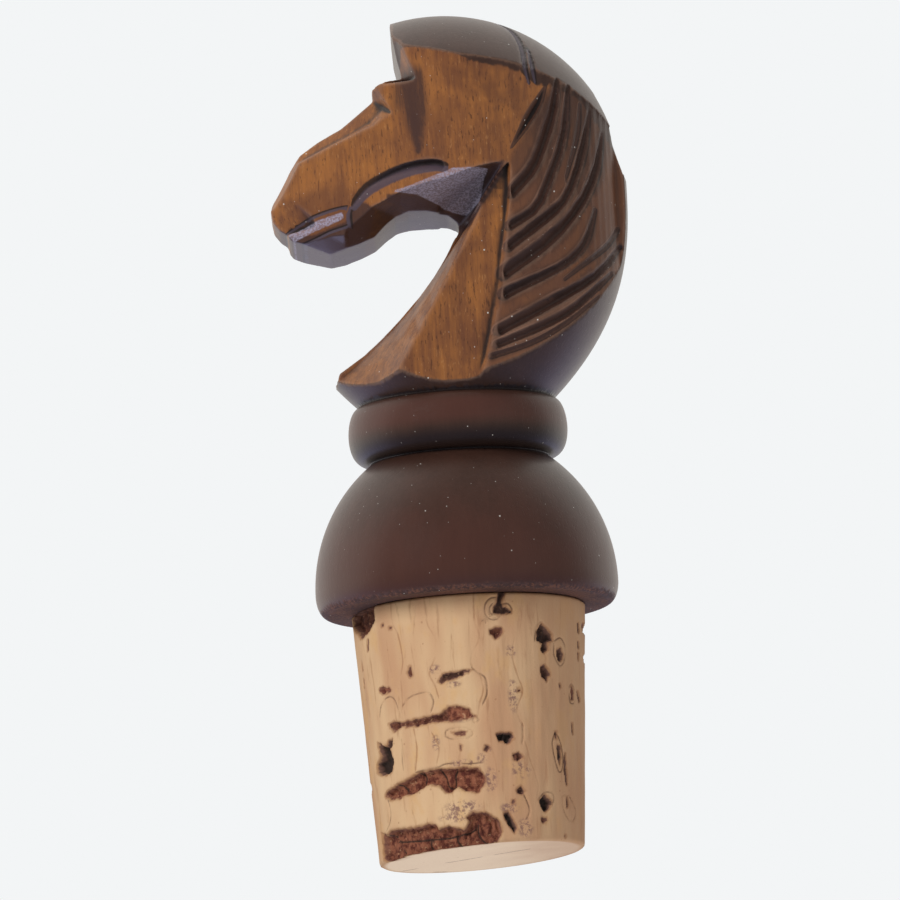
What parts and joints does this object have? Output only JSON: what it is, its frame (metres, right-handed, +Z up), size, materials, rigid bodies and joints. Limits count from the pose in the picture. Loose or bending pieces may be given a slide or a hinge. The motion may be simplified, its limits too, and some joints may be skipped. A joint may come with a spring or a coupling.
{
  "type": "wine stopper",
  "caption": "Bottle stopper: a chess knight's horse head turned and carved from dark stained hardwood, pegged onto a tapered natural cork.",
  "frame": {"origin": "middle of the cork's foot", "axes": "+Z up the stopper's axis from the cork to the horse's crown; the horse looks along -X; +Y is the horse's right-hand side"},
  "size_m": [0.0342, 0.029, 0.0816],
  "materials": {
    "stained_hardwood": "semi-gloss lacquer over a dark brown stain",
    "natural_cork": null,
    "pale_peg_wood": "bare wood"
  },
  "bodies": {
    "root": {"carved_head": "stained_hardwood", "cork": "natural_cork", "peg": "pale_peg_wood"}
  },
  "joints": []
}
